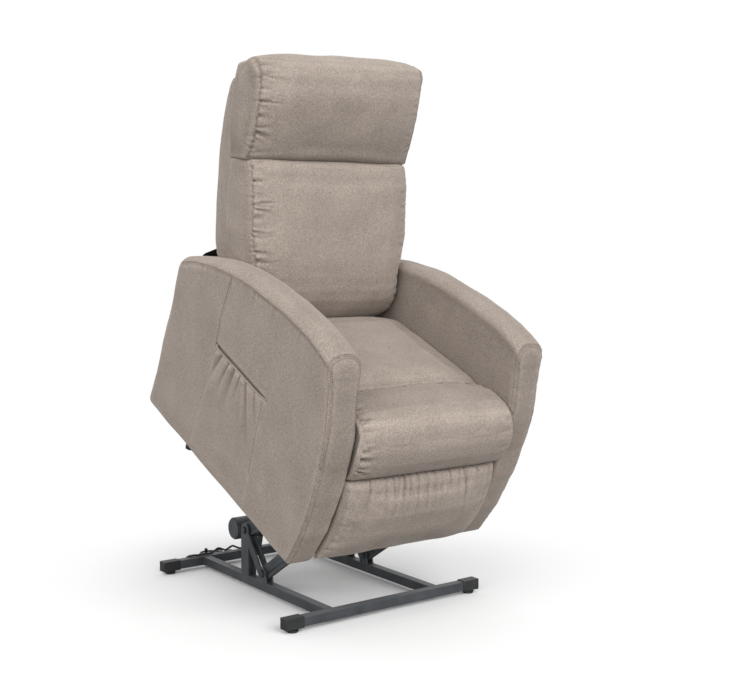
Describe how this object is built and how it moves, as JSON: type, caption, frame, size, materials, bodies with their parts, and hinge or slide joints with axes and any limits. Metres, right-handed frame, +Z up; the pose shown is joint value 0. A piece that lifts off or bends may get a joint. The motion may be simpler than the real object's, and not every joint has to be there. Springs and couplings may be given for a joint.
{
  "type": "lift recliner chair",
  "caption": "Upholstered lift recliner raised and tilted forward on a steel tube base, with a reclining back, head pillow, swing-out footrest and a side pocket.",
  "frame": {"origin": "on the floor under the middle of the chair's overall box, the cable and its coil left out", "axes": "+Z up, the sitter faces -Y, +X to the sitter's left"},
  "size_m": [0.6705, 1.0029, 1.4648],
  "materials": {
    "base_steel": "dark grey powder coat",
    "bolts": "dark zinc-plated steel",
    "black_plastic": "moulded black plastic",
    "cable": "black cable jacket",
    "motor_paint": "dark grey paint",
    "rod_steel": "bright drawn steel",
    "boards": "plain birch plywood",
    "webbing": "woven elastic webbing",
    "black_cloth": "black lining cloth on a stiffener",
    "cloth": "taupe brushed upholstery cloth"
  },
  "bodies": {
    "base": {"front_tube": "base_steel", "rear_tube": "base_steel", "rail_right": "base_steel", "rail_left": "base_steel", "tube_sleeves": "black_plastic", "glide_feet": "black_plastic", "stand_right": "base_steel", "stand_left": "base_steel", "stand_bolts": "bolts", "drive_bracket": "base_steel", "drive_foot_pin": "bolts", "cable": "cable", "cable_tie": "black_plastic", "cable_plug": "black_plastic"},
    "lift_arms": {"lift_arm_right": "base_steel", "lift_arm_left": "base_steel", "torsion_tube": "base_steel"},
    "lower_links": {"lower_link_right": "base_steel", "lower_link_left": "base_steel"},
    "drive_body": {"gearbox": "black_plastic", "motor_can": "motor_paint", "drive_tube": "motor_paint"},
    "drive_rod": {"drive_rod": "rod_steel", "rod_fork": "base_steel"},
    "chair": {"chassis_rail_right": "base_steel", "chassis_rail_left": "base_steel", "drive_cross_tube": "base_steel", "front_cross_tube": "base_steel", "rear_cross_tube": "base_steel", "lift_bracket_right": "base_steel", "lift_bracket_left": "base_steel", "bracket_bolts": "bolts", "seat_box": "boards", "seat_webbing": "webbing", "seat_cushion": "cloth", "arm_board_right": "boards", "arm_board_left": "boards", "arm_right": "cloth", "arm_left": "cloth", "facing_right": "cloth", "facing_left": "cloth", "side_pocket": "cloth", "arm_glides": "black_plastic", "hinge_plates": "base_steel", "hinge_pins": "bolts", "foot_pivot_pins": "bolts"},
    "back": {"back_frame": "boards", "back_webbing": "webbing", "hinge_brackets": "base_steel", "back_shell": "cloth", "back_cushion": "cloth", "head_pillow": "cloth", "rear_skirt": "black_cloth"},
    "foot_rear": {"foot_links_rear": "base_steel"},
    "foot_front": {"foot_links_front": "base_steel"},
    "foot_couplers": {"foot_couplers": "base_steel"},
    "foot_tilt": {"foot_tilt_links": "base_steel"},
    "footrest": {"foot_board": "boards", "foot_brackets": "base_steel", "foot_pad": "cloth"}
  },
  "joints": [
    {"name": "lift", "type": "hinge", "parent": "base", "child": "lift_arms", "pos_m": [0, 0.1575, 0.163], "axis": [1, 0, 0], "range_deg": [0, 35.15]},
    {"name": "chair_tilt", "type": "hinge", "parent": "lift_arms", "child": "chair", "pos_m": [0, -0.13437, 0.29635], "axis": [1, 0, 0], "range_deg": [-58.84, 0]},
    {"name": "lower_link_turn", "type": "hinge", "parent": "base", "child": "lower_links", "pos_m": [0, 0.0625, 0.06], "axis": [1, 0, 0], "range_deg": [0, 31.34]},
    {"name": "drive_swing", "type": "hinge", "parent": "base", "child": "drive_body", "pos_m": [0, 0.3975, 0.088], "axis": [1, 0, 0], "range_deg": [0, 26.69]},
    {"name": "drive_stroke", "type": "slide", "parent": "drive_body", "child": "drive_rod", "axis": [0, -0.8289, 0.5594], "range_m": [-0.08932, 0]},
    {"name": "back_recline", "type": "hinge", "parent": "chair", "child": "back", "pos_m": [0, 0.13859, 0.68873], "axis": [-1, 0, 0], "range_deg": [0, 33]},
    {"name": "footrest_swing", "type": "hinge", "parent": "chair", "child": "foot_rear", "pos_m": [0, -0.28136, 0.40121], "axis": [-1, 0, 0], "range_deg": [0, 114.4]},
    {"name": "foot_front_swing", "type": "hinge", "parent": "chair", "child": "foot_front", "pos_m": [0, -0.32564, 0.40919], "axis": [-1, 0, 0], "range_deg": [0, 114.5]},
    {"name": "foot_coupler_turn", "type": "hinge", "parent": "foot_rear", "child": "foot_couplers", "pos_m": [0, -0.14842, 0.29524], "axis": [-1, 0, 0], "range_deg": [-114.5, 0]},
    {"name": "footrest_turn", "type": "hinge", "parent": "foot_couplers", "child": "footrest", "pos_m": [0, -0.29926, 0.32242], "axis": [-1, 0, 0], "range_deg": [0, 80.18]},
    {"name": "foot_tilt_turn", "type": "hinge", "parent": "footrest", "child": "foot_tilt", "pos_m": [0, -0.27939, 0.2877], "axis": [-1, 0, 0], "range_deg": [-78.07, 0]}
  ],
  "couplings": [
    {"joint": "chair_tilt", "follows": "lift", "ratio": -1.6725},
    {"joint": "lower_link_turn", "follows": "lift", "ratio": 0.89007},
    {"joint": "drive_swing", "follows": "lift", "ratio": 0.75798},
    {"joint": "drive_stroke", "follows": "lift", "m_per_rad": -0.14527},
    {"joint": "foot_front_swing", "follows": "footrest_swing", "ratio": 1},
    {"joint": "foot_coupler_turn", "follows": "footrest_swing", "ratio": -1},
    {"joint": "footrest_turn", "follows": "footrest_swing", "ratio": 0.7},
    {"joint": "foot_tilt_turn", "follows": "footrest_swing", "ratio": -0.68155}
  ]
}
